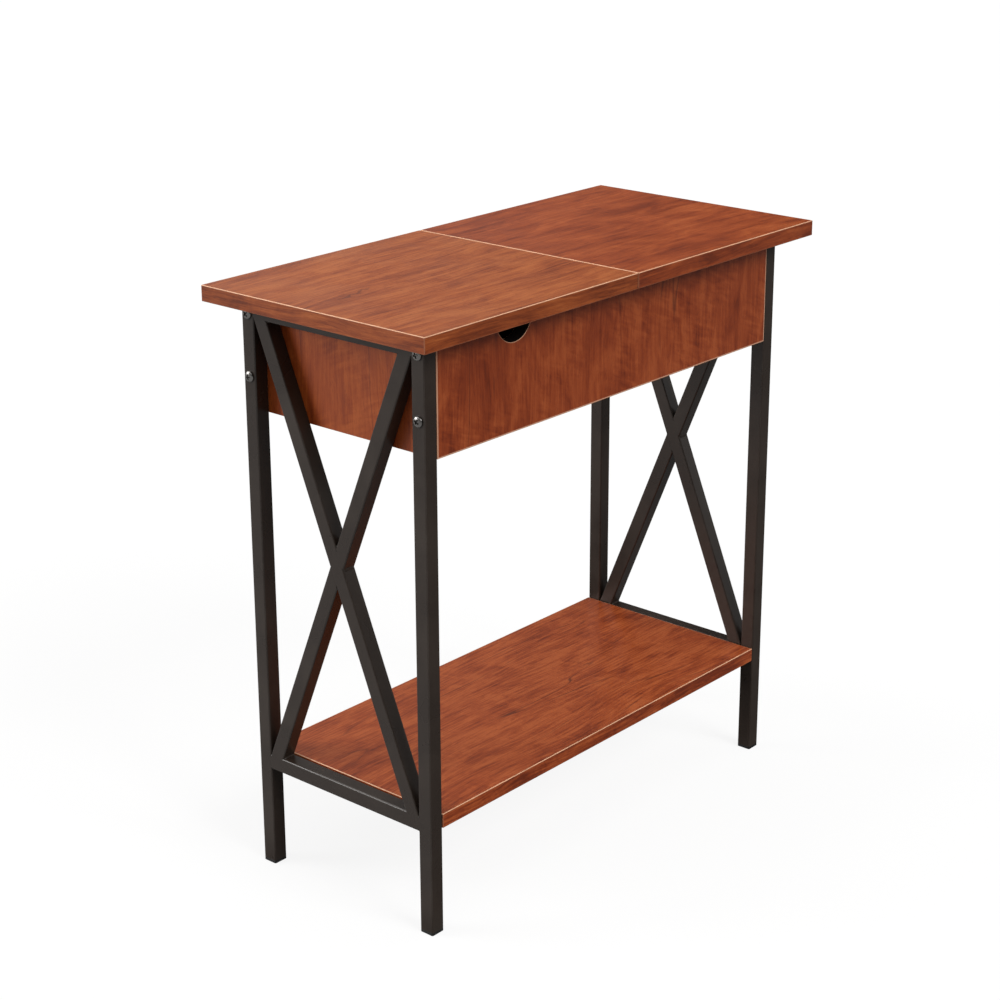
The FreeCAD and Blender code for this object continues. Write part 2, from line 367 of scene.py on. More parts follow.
def patchesAt(group, given, *settings):
    # broad soft patches of the group's size
    spots = noiseAt(group, scaled(group, given["Place"], given["Size"]), *settings)
    return rampBetween(group, spots, *maskRanges["patches"])


def makeSmudges():
    # where hands and cloths have been, for the roughness
    group, given, put = newGroup("smudges", {"Place": None, "Size": 12.0}, ("Smudge",))
    putOut(group, put, Smudge=patchesAt(group, given, 3.0, 0.6, 0.3))
    return group


def makeGrit():
    # fine skin of a coating or moulding: orange peel, and a speckle that is finer by so much
    finer = 3.7
    group, given, put = newGroup("grit", {"Place": None, "Size": 700.0}, ("Peel", "Speckle"))
    peel = noiseAt(group, scaled(group, given["Place"], given["Size"]), 1.0)
    fine = noiseAt(group, scaled(group, given["Place"], times(group, given["Size"], finer)), 1.0)
    putOut(group, put, Peel=peel, Speckle=rampBetween(group, fine, *maskRanges["speckle"]))
    return group


def makeCornerRub():
    # the rounded corners of the frames' tubes: every tube has one pair of faces square to X, so a corner is
    # where the normal's X is neither 0 nor 1. The rub is 4 nx^2 (1 - nx^2), broken up by noise.
    group, given, put = newGroup("cornerRub", {"Facing": None, "Place": None, "Size": 30.0}, ("Rub",))
    sideways = split(group, given["Facing"])[0]
    square = times(group, sideways, sideways)
    corner = times(group, times(group, square, minus(group, 1.0, square)), 4.0)
    putOut(group, put, Rub=times(group, corner, patchesAt(group, given, 3.0, 0.6)))
    return group


grainAxes = makeGrainAxes()
cherryFigure = makeCherryFigure()
effects = {"smudges": makeSmudges(), "grit": makeGrit(), "cornerRub": makeCornerRub()}


def effectMasks(tree, places, finish):
    # the masks of the effects that a finish names with their sizes, on the piece's own coordinates
    masks = {}
    for effect, size in finish["effects"].items():
        values = {"Size": size, "Place": places["Object"]}
        if effect == "cornerRub":
            values["Facing"] = places["Normal"]
        masks.update(placeGroup(tree, effects[effect], values).items())
    return masks


def dressShader(tree, shader, finish, masks, colour, height):
    # roughBy says how much each mask adds to the roughness; height is the field that the bump follows, and
    # bump its strength and its distance in metres
    strength, distance = finish["bump"]
    relief = addNode(tree, "ShaderNodeBump", Strength=strength, Distance=distance)
    tree.links.new(height, relief.inputs["Height"])
    tree.links.new(relief.outputs["Normal"], shader.inputs["Normal"])
    tree.links.new(colour, shader.inputs["Base Color"])
    rough = weighted(tree, finish["roughness"], masks, finish["roughBy"])
    tree.links.new(rough, shader.inputs["Roughness"])
    shader.inputs["Specular IOR Level"].default_value = finish["specular"]


# Cherry melamine, one material a board so that no two boards have the same figure, and so that each board's
# tone and tint can paint the light that it gets
cherryFinish = {
    "tones": {  # where each colour stands on the figure's tone
        0.08: (0.170, 0.0265, 0.0070),
        0.36: (0.280, 0.0490, 0.0130),
        0.64: (0.380, 0.0760, 0.0215),
        0.95: (0.490, 0.1180, 0.0380),
    },
    "dark": (0.075, 0.014, 0.006),
    "darkBy": {"Knot": 0.58, "Pore": 0.40},
    "joint": (0.740, 0.410, 0.270),
    "jointPale": 0.80,
    "jointWidth": 1.5,  # mm
    "broadFrom": 0.9,  # the normal's part along Y from which a panel's face is a broad one
    "effects": {"smudges": 11.0},
    "roughness": 0.33,
    "roughBy": {"Smudge": 0.07, "Pore": 0.10},
    "specular": 0.35,
    "bump": (0.12, 0.00012),
}
# the end panels' tone and tint are partly painted light, set to the light that falls on them
endBoard = {
    "standing": 1.0, "tone": 0.17,
    "figure": (1.20, 0.75, 0.85, 1.15), "vein": 0.60, "tint": (0.90, 0.81, 0.48),
}
# The figure's weights are in the order of figureWeights; tint goes over the print's red, green and blue. The
# tone and the tint are partly painted light: each board's print is lifted or lowered to stand for the light
# that falls on it, the lid paler and more golden as a painted sheen and the fixed top darker, and a level
# board's edge bands are darkened as painted shade.
cherryBoards = {
    "cherryLid": {
        "shift": (0.31, 0.12), "layer": 1.3, "knot": (-0.233, 0.009), "tone": 0.16, "band": -0.29,
        "figure": (1.35, 1.40, 0.14, 1.95), "vein": 0.14, "tint": (1.00, 1.16, 0.92),
    },
    "cherryFixedTop": {
        "shift": (0.77, 0.41), "layer": 5.9, "tone": 0.02, "band": -0.14,
        "figure": (1.60, 1.25, 0.14, 1.50), "vein": 0.12, "tint": (0.97, 0.95, 0.74),
    },
    "cherryShelf": {
        "shift": (1.43, 0.93), "layer": 12.1, "tone": 0.15, "band": -0.25,
        "figure": (1.60, 0.90, 0.60, 2.80), "vein": 0.80, "tint": (0.99, 0.94, 0.76),
    },
    "cherryFront": {
        "standing": 1.0, "shift": (2.11, 1.57), "layer": 17.7, "tone": 0.11, "joints": "front_panel",
        "figure": (1.65, 0.70, 1.00, 1.30), "vein": 0.60, "tint": (0.86, 0.75, 0.58),
    },
    "cherryBack": {
        "standing": 1.0, "shift": (2.93, 2.23), "layer": 24.5, "tone": 0.11, "joints": "back_panel",
        "figure": (1.65, 0.70, 0.95, 1.30), "vein": 0.50, "tint": (0.86, 0.75, 0.58),
    },
    "cherryLeftEnd": {"shift": (3.37, 0.67), "layer": 31.3, **endBoard},
    "cherryRightEnd": {"shift": (3.83, 1.19), "layer": 38.9, **endBoard},
    "cherryDivider": {
        "standing": 1.0, "shift": (4.41, 2.51), "layer": 45.1, "tone": 0.06,
        "figure": (1.10, 0.70, 0.70, 1.00), "vein": 0.40,
    },
}
farAway = (9.0, 9.0)  # metres, where the knot of a board without one is


def bandJoints(tree, places, node):
    # the pale joint of the edge bands on a long panel's broad faces, along its upright ends and its foot
    low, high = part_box(node)
    width = cherryFinish["jointWidth"] * mm
    spot, facing = split(tree, places["Object"]), split(tree, places["Normal"])
    ends = mathNode(tree, "GREATER_THAN", mathNode(tree, "ABSOLUTE", spot[0]), high.x - width)
    foot = mathNode(tree, "LESS_THAN", spot[2], low.z + width)
    broad = mathNode(tree, "GREATER_THAN", mathNode(tree, "ABSOLUTE", facing[1]), cherryFinish["broadFrom"])
    return times(tree, mathNode(tree, "MAXIMUM", ends, foot), broad)


def cherryTones(tree, tint):
    ramp = tree.nodes.new("ShaderNodeValToRGB")
    stops, tones = ramp.color_ramp.elements, cherryFinish["tones"]
    first, *between, last = tones
    stops[0].position, stops[1].position = first, last
    for position in between:
        stops.new(position)
    for stop, colour in zip(stops, tones.values()):
        stop.color = tuple(part * share for part, share in zip(colour, tint)) + (1.0,)
    return ramp


def makeCherry(name, board):
    material, tree, shader, places = newMaterial(name)
    facing = {"Place": places["Object"], "Facing": places["Normal"]}
    axes = placeGroup(tree, grainAxes, {"Standing": board.get("standing", 0.0), **facing})
    weights = dict(zip(figureWeights, board["figure"]))
    weights["Layer"] = plus(tree, axes["Layer"], board["layer"])
    for way, shift, knot in zip(("Along", "Across"), board["shift"], board.get("knot", farAway)):
        weights[way] = plus(tree, axes[way], shift)
        weights["Knot " + way] = knot + shift
    figure = placeGroup(tree, cherryFigure, weights)
    ramp = cherryTones(tree, board.get("tint", (1.0, 1.0, 1.0)))
    # the board's tone, lifted or lowered as painted light, with a painted shade on a level board's edge bands
    tone = weighted(tree, board["tone"], axes, {"Band": board.get("band", 0.0)})
    tree.links.new(plus(tree, figure["Tone"], tone), ramp.inputs["Fac"])
    colour = ramp.outputs["Color"]
    for mask, strength in {"Vein": board["vein"], **cherryFinish["darkBy"]}.items():
        colour = mixColours(tree, times(tree, figure[mask], strength), colour, cherryFinish["dark"])
    if "joints" in board:
        joints = times(tree, bandJoints(tree, places, board["joints"]), cherryFinish["jointPale"])
        colour = mixColours(tree, joints, colour, cherryFinish["joint"])
    masks = {"Pore": figure["Pore"], **effectMasks(tree, places, cherryFinish)}
    dressShader(tree, shader, cherryFinish, masks, colour, figure["Height"])
    return material


# The scraped arris between a board's face and its edge banding: partly the edging's paler core and partly
# painted highlight. It is palest on top edges; upright and lower edges keep more of the print, which paints
# light on the lit top edges and shade on the others.
arrisFinish = {
    "pale": (0.86, 0.50, 0.31),
    "warm": (0.50, 0.200, 0.100),
    "warmBy": {"Smudge": 0.28, "Speckle": 0.18},
    "print": (0.30, 0.070, 0.026),
    "levelTo": 0.12,  # the normal's height up to which an edge counts as upright
    "steepFrom": 0.40,  # and from which it counts as a top or a lower edge
    "effects": {"smudges": 55.0, "grit": 420.0},
    "roughness": 0.36,
    "roughBy": {"Peel": 0.12},
    "specular": 0.2,
    "bump": (0.15, 0.0001),
}
arrisWork = {  # how much of the pale shows on upright and lower edges: painted shade, with the lit top edges palest
    "topArris": {"upright": 0.17, "lower": 0.07},
    "panelArris": {"upright": 0.80, "lower": 0.60},
}


def makeArris(name, work, finish=arrisFinish):
    material, tree, shader, places = newMaterial(name)
    masks = effectMasks(tree, places, finish)
    scraped = mixColours(tree, weighted(tree, 0.0, masks, finish["warmBy"]), finish["pale"], finish["warm"])
    up, gentle, steep = split(tree, places["Normal"])[2], finish["levelTo"], finish["steepFrom"]
    # painted light: the pale rises with the normal's height, lit on top edges and shaded on upright and lower
    # ones
    upper = rampBetween(tree, up, gentle, steep, work["upright"], 1.0)
    lower = rampBetween(tree, up, -steep, -gentle, work["lower"] - work["upright"], 0.0)
    colour = mixColours(tree, plus(tree, upper, lower), finish["print"], scraped)
    dressShader(tree, shader, finish, masks, colour, masks["Peel"])
    return material


# Coats and mouldings: a base colour, then layers over it, each a mask, its strength and its colour
coatFinishes = {
    "blackPowderCoat": {  # satin, on the welded frames
        "base": (0.0285, 0.0192, 0.0142),
        "layers": (
            ("Smudge", 1.0, (0.0385, 0.0270, 0.0202)),
            ("Speckle", 0.35, (0.0385, 0.0270, 0.0202)),
            ("Rub", 0.32, (0.080, 0.068, 0.057)),
        ),
        "effects": {"smudges": 14.0, "grit": 780.0, "cornerRub": 34.0},
        "roughness": 0.27,
        "roughBy": {"Smudge": 0.08, "Rub": -0.10},
        "specular": 0.36,
        "bump": (0.22, 0.0001),
    },
    "mouldedPlug": {  # in the legs' ends
        "base": (0.0125, 0.0120, 0.0118),
        "layers": (("Smudge", 1.0, (0.022, 0.021, 0.020)),),
        "effects": {"smudges": 60.0, "grit": 1500.0},
        "roughness": 0.52,
        "roughBy": {"Speckle": 0.15},
        "specular": 0.4,
        "bump": (0.3, 0.00008),
    },
    "paintedNotchShade": {  # painted shade: near-black on the cable notch's wall, which lies in the top's shadow
        "base": (0.010, 0.0085, 0.008),
        "layers": (("Speckle", 1.0, (0.030, 0.016, 0.010)),),
        "effects": {"grit": 600.0},
        "roughness": 0.6,
        "roughBy": {"Peel": 0.2},
        "specular": 0.15,
        "bump": (0.4, 0.0002),
    },
}


def makeCoat(name, finish):
    material, tree, shader, places = newMaterial(name)
    masks = effectMasks(tree, places, finish)
    colour = finish["base"]
    for mask, strength, layer in finish["layers"]:
        colour = mixColours(tree, times(tree, masks[mask], strength), colour, layer)
    dressShader(tree, shader, finish, masks, colour, masks["Peel"])
    return material


# Metals: bolts in dark nickel, small screws and studs in zinc, hinges in black plate
metalFinishes = {
    "darkNickel": {
        "bright": (0.23, 0.22, 0.21), "dull": (0.09, 0.085, 0.08),
        "roughness": 0.15, "effects": {"smudges": 90.0, "grit": 260.0},
    },
    "zincPlate": {
        "bright": (0.66, 0.655, 0.62), "dull": (0.38, 0.385, 0.37),
        "roughness": 0.28, "effects": {"smudges": 90.0, "grit": 190.0},
    },
    "hingeSteel": {
        "bright": (0.09, 0.089, 0.087), "dull": (0.045, 0.044, 0.043),
        "roughness": 0.29, "effects": {"smudges": 90.0, "grit": 120.0},
    },
}
rolledMetal = {
    "lines": (40.0, 1500.0, 1500.0),  # the scales of the rolling lines, which run along X
    "dullBy": {"Peel": 0.4, "Smudge": 0.5},
    "roughBy": {"Lines": 0.12, "Smudge": 0.10},
    "specular": 0.5,
    "bump": (0.10, 0.00005),
}


def makeMetal(name, finish):
    finish = {**rolledMetal, **finish}
    material, tree, shader, places = newMaterial(name)
    masks = effectMasks(tree, places, finish)
    masks["Lines"] = drawnNoise(tree, places, finish["lines"], 2.0)
    colour = mixColours(tree, weighted(tree, 0.0, masks, finish["dullBy"]), finish["bright"], finish["dull"])
    shader.inputs["Metallic"].default_value = 1.0
    dressShader(tree, shader, finish, masks, colour, masks["Lines"])
    return material


# Pressed fibres of the box's bottom sheet: two crossed noises drawn out into short threads
hardboardFinish = {
    "dark": (0.105, 0.052, 0.028),
    "light": (0.215, 0.118, 0.066),
    "threads": ((240.0, 900.0, 900.0), (900.0, 240.0, 900.0)),
    "lightFibre": (0.45, 0.72, 0.0, 0.75),  # from and to of the fibre, then of the light that it brings
    "lightBy": {"Smudge": 0.25},
    "effects": {"smudges": 16.0},
    "roughness": 0.45,
    "roughBy": {"Fibre": 0.2},
    "specular": 0.3,
    "bump": (0.25, 0.0002),
}


def makeHardboard(finish):
    material, tree, shader, places = newMaterial("pressedHardboard")
    masks = effectMasks(tree, places, finish)
    threads = (drawnNoise(tree, places, scale, 2.0, 0.6, 0.5) for scale in finish["threads"])
    masks["Fibre"] = mathNode(tree, "MAXIMUM", *threads)
    light = rampBetween(tree, masks["Fibre"], *finish["lightFibre"])
    amount = weighted(tree, light, masks, finish["lightBy"])
    colour = mixColours(tree, amount, finish["dark"], finish["light"])
    dressShader(tree, shader, finish, masks, colour, masks["Fibre"])
    return material


cherry = {name: makeCherry(name, board) for name, board in cherryBoards.items()}
arris = {name: makeArris(name, work) for name, work in arrisWork.items()}
coats = {name: makeCoat(name, finish) for name, finish in coatFinishes.items()}
metal = {name: makeMetal(name, finish) for name, finish in metalFinishes.items()}
pressedHardboard = makeHardboard(hardboardFinish)
sayStage("finishes made")


# Stage: a pale floor, four broad soft lamps and a surround that is white low down and greyer overhead.
# Ranges are (from, to) shares of the way towards a side, over which a smooth step goes.
stageLook = {
    "floorRadius": 24.0,
    "floorCorners": 96,
    "floorColour": (0.17, 0.17, 0.169),
    "floorPatches": 0.99,  # how much darker its patches are
    "floorLift": 0.85,  # added for the camera
    "mirroredLift": 0.45,  # the part of it that shiny parts mirror past the table's left end
    "mirroredRange": (0.22, 0.36),
    "floorSide": (-1.0, 0.0, 0.0),
    "brightSide": (-0.669, 0.743, 0.0),  # past the table's back left corner
    "surround": 0.31,  # what lights the object
    "dimSky": 0.02,  # what shiny parts mirror above the horizon, away from the bright side
    "brightSky": 0.33,  # and towards it
    "skyRange": (-0.12, 0.07),
    "paleHorizon": 0.35,  # at the horizon away from the bright side, where white is 1
    "horizonRange": (-0.6, 0.2),
    "horizonHeight": 0.10,
    "softBox": 3.2,  # and in the box high up behind the table's left end
    "softBoxRange": (0.76, 0.90),
    "softBoxSide": (-0.18, 0.68, 0.71),
    "lamps": {
        "sideLamp": {"toward": (-0.62, 0.74, 0.25), "strength": 1.95, "angle": 30.0},
        "topLamp": {"toward": (-0.40, -0.12, 1.0), "strength": 0.64, "angle": 60.0},
        "frontLamp": {"toward": (0.0, -1.0, 0.80), "strength": 1.52, "angle": 28.0},
        "fillLamp": {"toward": (0.95, -0.30, 0.25), "strength": 0.45, "angle": 60.0},
    },
}


def alongSide(tree, vector, side, limits, toLow, toHigh):
    # how far a point or direction goes towards a side, as a smooth step
    reach = addNode(tree, "ShaderNodeVectorMath", {"operation": "DOT_PRODUCT"})
    tree.links.new(vector, reach.inputs[0])
    reach.inputs[1].default_value = Vector(side).normalized()
    return rampBetween(tree, reach.outputs["Value"], *limits, toLow, toHigh)


def rayKinds(tree):
    # whether a ray is the camera's own, and whether it was mirrored or let through
    paths = tree.nodes.new("ShaderNodeLightPath").outputs
    shiny = mathNode(tree, "MAXIMUM", paths["Is Glossy Ray"], paths["Is Transmission Ray"])
    return paths["Is Camera Ray"], shiny


def makeFloor(look):
    # a flat disc; its points go round at one radius about a middle point
    count = look["floorCorners"]
    turns = np.linspace(0.0, 2.0 * np.pi, count, endpoint=False)
    ring = look["floorRadius"] * np.stack([np.cos(turns), np.sin(turns), np.zeros(count)], axis=1)
    mesh = bpy.data.meshes.new("floor")
    mesh.from_pydata(ring.tolist(), [], [list(range(count))])
    addObject("floor", mesh)
    material, tree, shader, places = newMaterial("paleFloor")
    tone = noiseAt(tree, places["Object"], 2.0)
    patches = tuple(look["floorPatches"] * part for part in look["floorColour"])
    tree.links.new(mixColours(tree, tone, patches, look["floorColour"]), shader.inputs["Base Color"])
    shader.inputs["Roughness"].default_value = 0.9
    shader.inputs["Specular IOR Level"].default_value = 0.0
    camera, mirrored = rayKinds(tree)
    side, limits = look["floorSide"], look["mirroredRange"]
    lift = alongSide(tree, places["Object"], side, limits, 0.0, look["mirroredLift"])
    seen = mathNode(tree, "MAXIMUM", camera, times(tree, mirrored, lift))
    glow = tree.nodes.new("ShaderNodeEmission")
    tree.links.new(times(tree, seen, look["floorLift"]), glow.inputs["Strength"])
    both = tree.nodes.new("ShaderNodeAddShader")
    tree.links.new(shader.outputs[0], both.inputs[0])
    tree.links.new(glow.outputs[0], both.inputs[1])
    tree.links.new(both.outputs[0], tree.nodes["Material Output"].inputs["Surface"])
    mesh.materials.append(material)


def makeSurround(look):
    # white to the camera; to shiny parts white at the horizon and greyer above it, both dimmer away from the
    # bright side, and bright in a soft box; an even grey light to the rest
    world = bpy.data.worlds.new("studio")
    bpy.context.scene.world = world
    world.use_nodes = True
    tree = world.node_tree
    back = tree.nodes["Background"]
    back.inputs["Color"].default_value = (1.0, 1.0, 1.0, 1.0)
    toward = tree.nodes.new("ShaderNodeTexCoord").outputs["Generated"]
    bright, softBox = look["brightSide"], look["softBoxSide"]
    sky = alongSide(tree, toward, bright, look["skyRange"], look["dimSky"], look["brightSky"])
    pale = alongSide(tree, toward, bright, look["horizonRange"], look["paleHorizon"], 1.0)
    low = rampBetween(tree, split(tree, toward)[2], 0.0, look["horizonHeight"], 1.0, 0.0)
    horizon = times(tree, low, pale)
    box = alongSide(tree, toward, softBox, look["softBoxRange"], 0.0, look["softBox"])
    sweep = plus(tree, mathNode(tree, "MAXIMUM", horizon, sky), box)
    camera, shiny = rayKinds(tree)
    brighter = minus(tree, sweep, look["surround"])
    strength = mathNode(tree, "MULTIPLY_ADD", shiny, brighter, look["surround"])
    toWhite = times(tree, camera, minus(tree, 1.0, strength))
    tree.links.new(plus(tree, strength, toWhite), back.inputs["Strength"])


def makeStage(look):
    makeFloor(look)
    makeSurround(look)
    for name, work in look["lamps"].items():
        data = bpy.data.lights.new(name, "SUN")
        data.energy = work["strength"]
        data.angle = math.radians(work["angle"])
        lamp = addObject(name, data)
        lamp.rotation_mode = "QUATERNION"
        lamp.rotation_quaternion = Vector(work["toward"]).to_track_quat("Z", "Y")
    bpy.context.scene.view_settings.view_transform = "Standard"


makeStage(stageLook)
sayStage("stage set")


# Mesh helpers


def makePiece(name, parts, materials, body, replaced=(), creaseAngle=35.0):
    # parts: (points, faces) pairs joined into one mesh; the faces point outwards after the recalculation
    points, faces, count = [], [], 0
    for part, sides in parts:
        points.append(part)
        faces.extend([[corner + count for corner in side] for side in sides])
        count += len(part)
    mesh = bpy.data.meshes.new(name)
    mesh.from_pydata(np.concatenate(points), [], faces, shade_flat=False)
    shell = bmesh.new()
    shell.from_mesh(mesh)
    bmesh.ops.recalc_face_normals(shell, faces=shell.faces)
    shell.to_mesh(mesh)
    shell.free()
    mesh.set_sharp_from_angle(angle=math.radians(creaseAngle))
    for material in materials:
        mesh.materials.append(material)
    piece = addObject(name, mesh)
    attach(piece, body)
    if replaced:
        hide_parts(*replaced)
    return piece


sharpFrom = math.radians(32.0)  # an edge is sharp when its faces turn by more


def softenArrises(piece, width, segments=3, material=-1):
    # a small round along every sharp edge; material is the slot that the round takes
    bevel = piece.modifiers.new("arris", "BEVEL")
    bevel.width = width
    bevel.segments = segments
    bevel.limit_method = "ANGLE"
    bevel.angle_limit = sharpFrom
    bevel.harden_normals = True
    bevel.material = material
    bevel.miter_outer = "MITER_ARC"


def gridFaces(rows, columns, wrapRows=False, wrapColumns=False):
    # quads between neighbouring rows and columns of a grid whose point number is row * columns + column
    row = np.arange(rows if wrapRows else rows - 1)[:, None]
    column = np.arange(columns if wrapColumns else columns - 1)[None, :]
    nextRow, nextColumn = (row + 1) % rows, (column + 1) % columns
    corners = ((row, column), (row, nextColumn), (nextRow, nextColumn), (nextRow, column))
    quads = np.stack([down * columns + across for down, across in corners], axis=-1)
    return quads.reshape(-1, 4).tolist()


def closedFaces(rows, columns):
    # rings of points one after another, with the first and the last ring filled in
    last = (rows - 1) * columns
    ends = [list(range(columns)), list(range(last, last + columns))]
    return gridFaces(rows, columns, wrapColumns=True) + ends


def prism(outline, axis, low, high):
    # a flat outline, given in the other two axes in cyclic order, carried from low to high along one axis
    outline = np.asarray(outline, float)
    count = len(outline)
    points = np.zeros((2, count, 3))
    points[:, :, (axis + 1) % 3] = outline[:, 0]
    points[:, :, (axis + 2) % 3] = outline[:, 1]
    points[0, :, axis], points[1, :, axis] = low, high
    return points.reshape(-1, 3), closedFaces(2, count)


def boardBox(node):
    # the box of a CAD board as a prism along X
    low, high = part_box(node)
    outline = [(low.y, low.z), (high.y, low.z), (high.y, high.z), (low.y, high.z)]
    return prism(outline, 0, low.x, high.x)


# Boards; an arris is the width of its round in mm
boardWork = {
    "lid": {"look": "cherryLid", "slot": "top_board", "arris": 0.80, "edge": "topArris", "body": lidBody},
    "fixed_top": {"look": "cherryFixedTop", "slot": "top_board", "arris": 0.80, "edge": "topArris"},
    "shelf": {"look": "cherryShelf", "slot": "shelf_board", "arris": 0.80, "edge": "topArris"},
    "back_panel": {"look": "cherryBack", "slot": "panel_board", "arris": 0.50, "edge": "panelArris"},
    "left_end_panel": {"look": "cherryLeftEnd", "slot": "panel_board", "arris": 0.35, "edge": "panelArris"},
    "right_end_panel": {"look": "cherryRightEnd", "slot": "panel_board", "arris": 0.35, "edge": "panelArris"},
    "divider": {"look": "cherryDivider", "slot": "panel_board", "arris": 0.35, "edge": "panelArris"},
}
for node, work in boardWork.items():
    looks = [cherry[work["look"]], arris[work["edge"]]]
    body = work.get("body", tableBody)
    board = makePiece(node + "_board", [boardBox(node)], looks, body, [node])
    softenArrises(board, work["arris"] * mm, 3, 1)

# Front panel: a rectangle whose top edge dips in a half circle, the cable notch under the lid's middle
notchShape = {"steps": 40, "radius": 25.0, "arris": 0.5, "crease": 20.0}


def frontPanel(notch):
    # the arc's points are middle + radius * (cos t, -sin t), t from 0 to pi, between the two top corners
    low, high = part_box("front_panel")
    lidLow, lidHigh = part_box("lid")
    turn = np.linspace(0.0, np.pi, notch["steps"])
    arcX = (lidLow.x + lidHigh.x) / 2 + notch["radius"] * mm * np.cos(turn)
    arcZ = high.z - notch["radius"] * mm * np.sin(turn)
    outline = [(low.z, low.x), (low.z, high.x), (high.z, high.x), *zip(arcZ, arcX), (high.z, low.x)]
    return prism(outline, 1, low.y, high.y)


looks = [cherry["cherryFront"], arris["panelArris"], coats["paintedNotchShade"]]
notched = [frontPanel(notchShape)]
crease = notchShape["crease"]
panel = makePiece("front_panel_board", notched, looks, tableBody, ["front_panel"], crease)
# the notch's wall takes the near-black painted shade
for face in range(3, 2 + notchShape["steps"]):
    panel.data.polygons[face].material_index = 2  # the prism's sides come first, in the outline's order
softenArrises(panel, notchShape["arris"] * mm, 3, 1)

pressed = [boardBox("box_bottom")]
sheet = makePiece("box_bottom_sheet", pressed, [pressedHardboard], tableBody, ["box_bottom"])
softenArrises(sheet, 0.3 * mm, 2)
sayStage("boards cut")


# Frames: square tube with rounded corners
tubeShape = {"side": 16.0, "wall": 1.2, "corner": 1.5, "innerCorner": 0.4, "steps": 6, "edgeHold": 0.12}


def roundedSquare(half, corner, steps, hold):
    # for each quadrant: a point just before the round, the round as (half - corner) + corner * (cos, sin),
    # and one just after
    turn = np.linspace(0.0, np.pi / 2, steps + 1)
    flat = half - corner
    u = np.concatenate([[half], flat + corner * np.cos(turn), [flat - hold]])
    v = np.concatenate([[flat - hold], flat + corner * np.sin(turn), [half]])
    quarters = ((u, v), (-v, u), (-u, -v), (v, -u))
    return np.concatenate([np.stack(quarter, axis=1) for quarter in quarters])


def tube(middle, along, startPlane, endPlane, shape=tubeShape):
    # every profile point q slides along the tube to each end plane: t = (plane point - q) . n / (along . n)
    middle, along = np.array(middle, float), np.array(along, float)
    along /= np.linalg.norm(along)
    first = np.array([1.0, 0.0, 0.0])
    second = np.cross(along, first)
    rings = []
    half = shape["side"] / 2
    walls = ((half, shape["corner"]), (half - shape["wall"], shape["innerCorner"]))
    for reach, corner in walls:
        flat = roundedSquare(reach * mm, corner * mm, shape["steps"], shape["edgeHold"] * mm)
        skin = middle + flat[:, :1] * first + flat[:, 1:] * second
        for point, normal in (startPlane, endPlane):
            slide = ((np.array(point) - skin) @ np.array(normal)) / (along @ np.array(normal))
            rings.append(skin + slide[:, None] * along)
    rings = np.stack([rings[0], rings[1], rings[3], rings[2]])
    return rings.reshape(-1, 3), gridFaces(4, rings.shape[1], wrapRows=True, wrapColumns=True)


level = (0.0, 0.0, 1.0)  # normal of the planes that end the legs and braces
forth = (0.0, 1.0, 0.0)  # and of those that end the rails
braceLines = {}


def framePiece(name, parts, replaced=(), creaseAngle=35.0):
    makePiece(name, parts, [coats["blackPowderCoat"]], tableBody, replaced, creaseAngle)


def makeTube(name, made):
    framePiece(name + "_tube", [made], [name])


def makeFrames():
    # a brace's footprint on a rail is side / cos(angle) and its outer edges start in opposite corners, so
    # width * cos(angle) - height * sin(angle) = side
    tubeSide = tubeShape["side"] * mm
    for side in ("left", "right"):
        legBoxes = {place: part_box(f"{side}_{place}_leg") for place in ("front", "back")}
        railBoxes = {place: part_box(f"{side}_{place}_rail") for place in ("top", "bottom")}
        middleX = (legBoxes["front"][0].x + legBoxes["front"][1].x) / 2
        for place, (low, high) in legBoxes.items():
            middle = (middleX, (low.y + high.y) / 2, 0.0)
            ends = ((0, 0, low.z), level), ((0, 0, high.z), level)
            makeTube(f"{side}_{place}_leg", tube(middle, level, *ends))
        for place, (low, high) in railBoxes.items():
            middle = (middleX, 0.0, (low.z + high.z) / 2)
            ends = ((0, low.y, 0), forth), ((0, high.y, 0), forth)
            makeTube(f"{side}_{place}_rail", tube(middle, forth, *ends))
        near, far = legBoxes["front"][1].y, legBoxes["back"][0].y
        bottom, top = railBoxes["bottom"][1].z, railBoxes["top"][0].z
        middle = np.array([middleX, (near + far) / 2, (bottom + top) / 2])
        width, height = far - near, top - bottom
        angle = math.acos(tubeSide / math.hypot(width, height)) - math.atan2(height, width)
        leanBack = np.array([0.0, math.sin(angle), math.cos(angle)])
        leanFront = leanBack * (1, -1, 1)
        low, high = ((0, 0, bottom), level), ((0, 0, top), level)
        square = np.array([0.0, math.cos(angle), -math.sin(angle)])  # square to the through brace's sides
        nearSide, farSide = ((middle + flip * tubeSide / 2 * square, square) for flip in (1, -1))
        makeTube(f"{side}_brace_through", tube(middle, leanBack, low, high))
        makeTube(f"{side}_brace_lower_half", tube(middle, leanFront, low, nearSide))
        makeTube(f"{side}_brace_upper_half", tube(middle, leanFront, farSide, high))
        line = {"middle": middle, "angle": angle, "near": near, "far": far, "bottom": bottom, "top": top}
        braceLines[side] = line


makeFrames()
sayStage("frames welded")

# Ground welds: they fill the grooves that the tubes' round corners leave where one tube ends on another,
# flush with the frames' flat faces
fillShape = {"deep": 1.6, "proud": 0.15, "flush": 0.02, "cornerGap": 1.5, "footIn": 0.8, "crossing": 8.6}


def rectangle(y0, y1, z0, z1):
    return [(y0, z0), (y1, z0), (y1, z1), (y0, z1)]


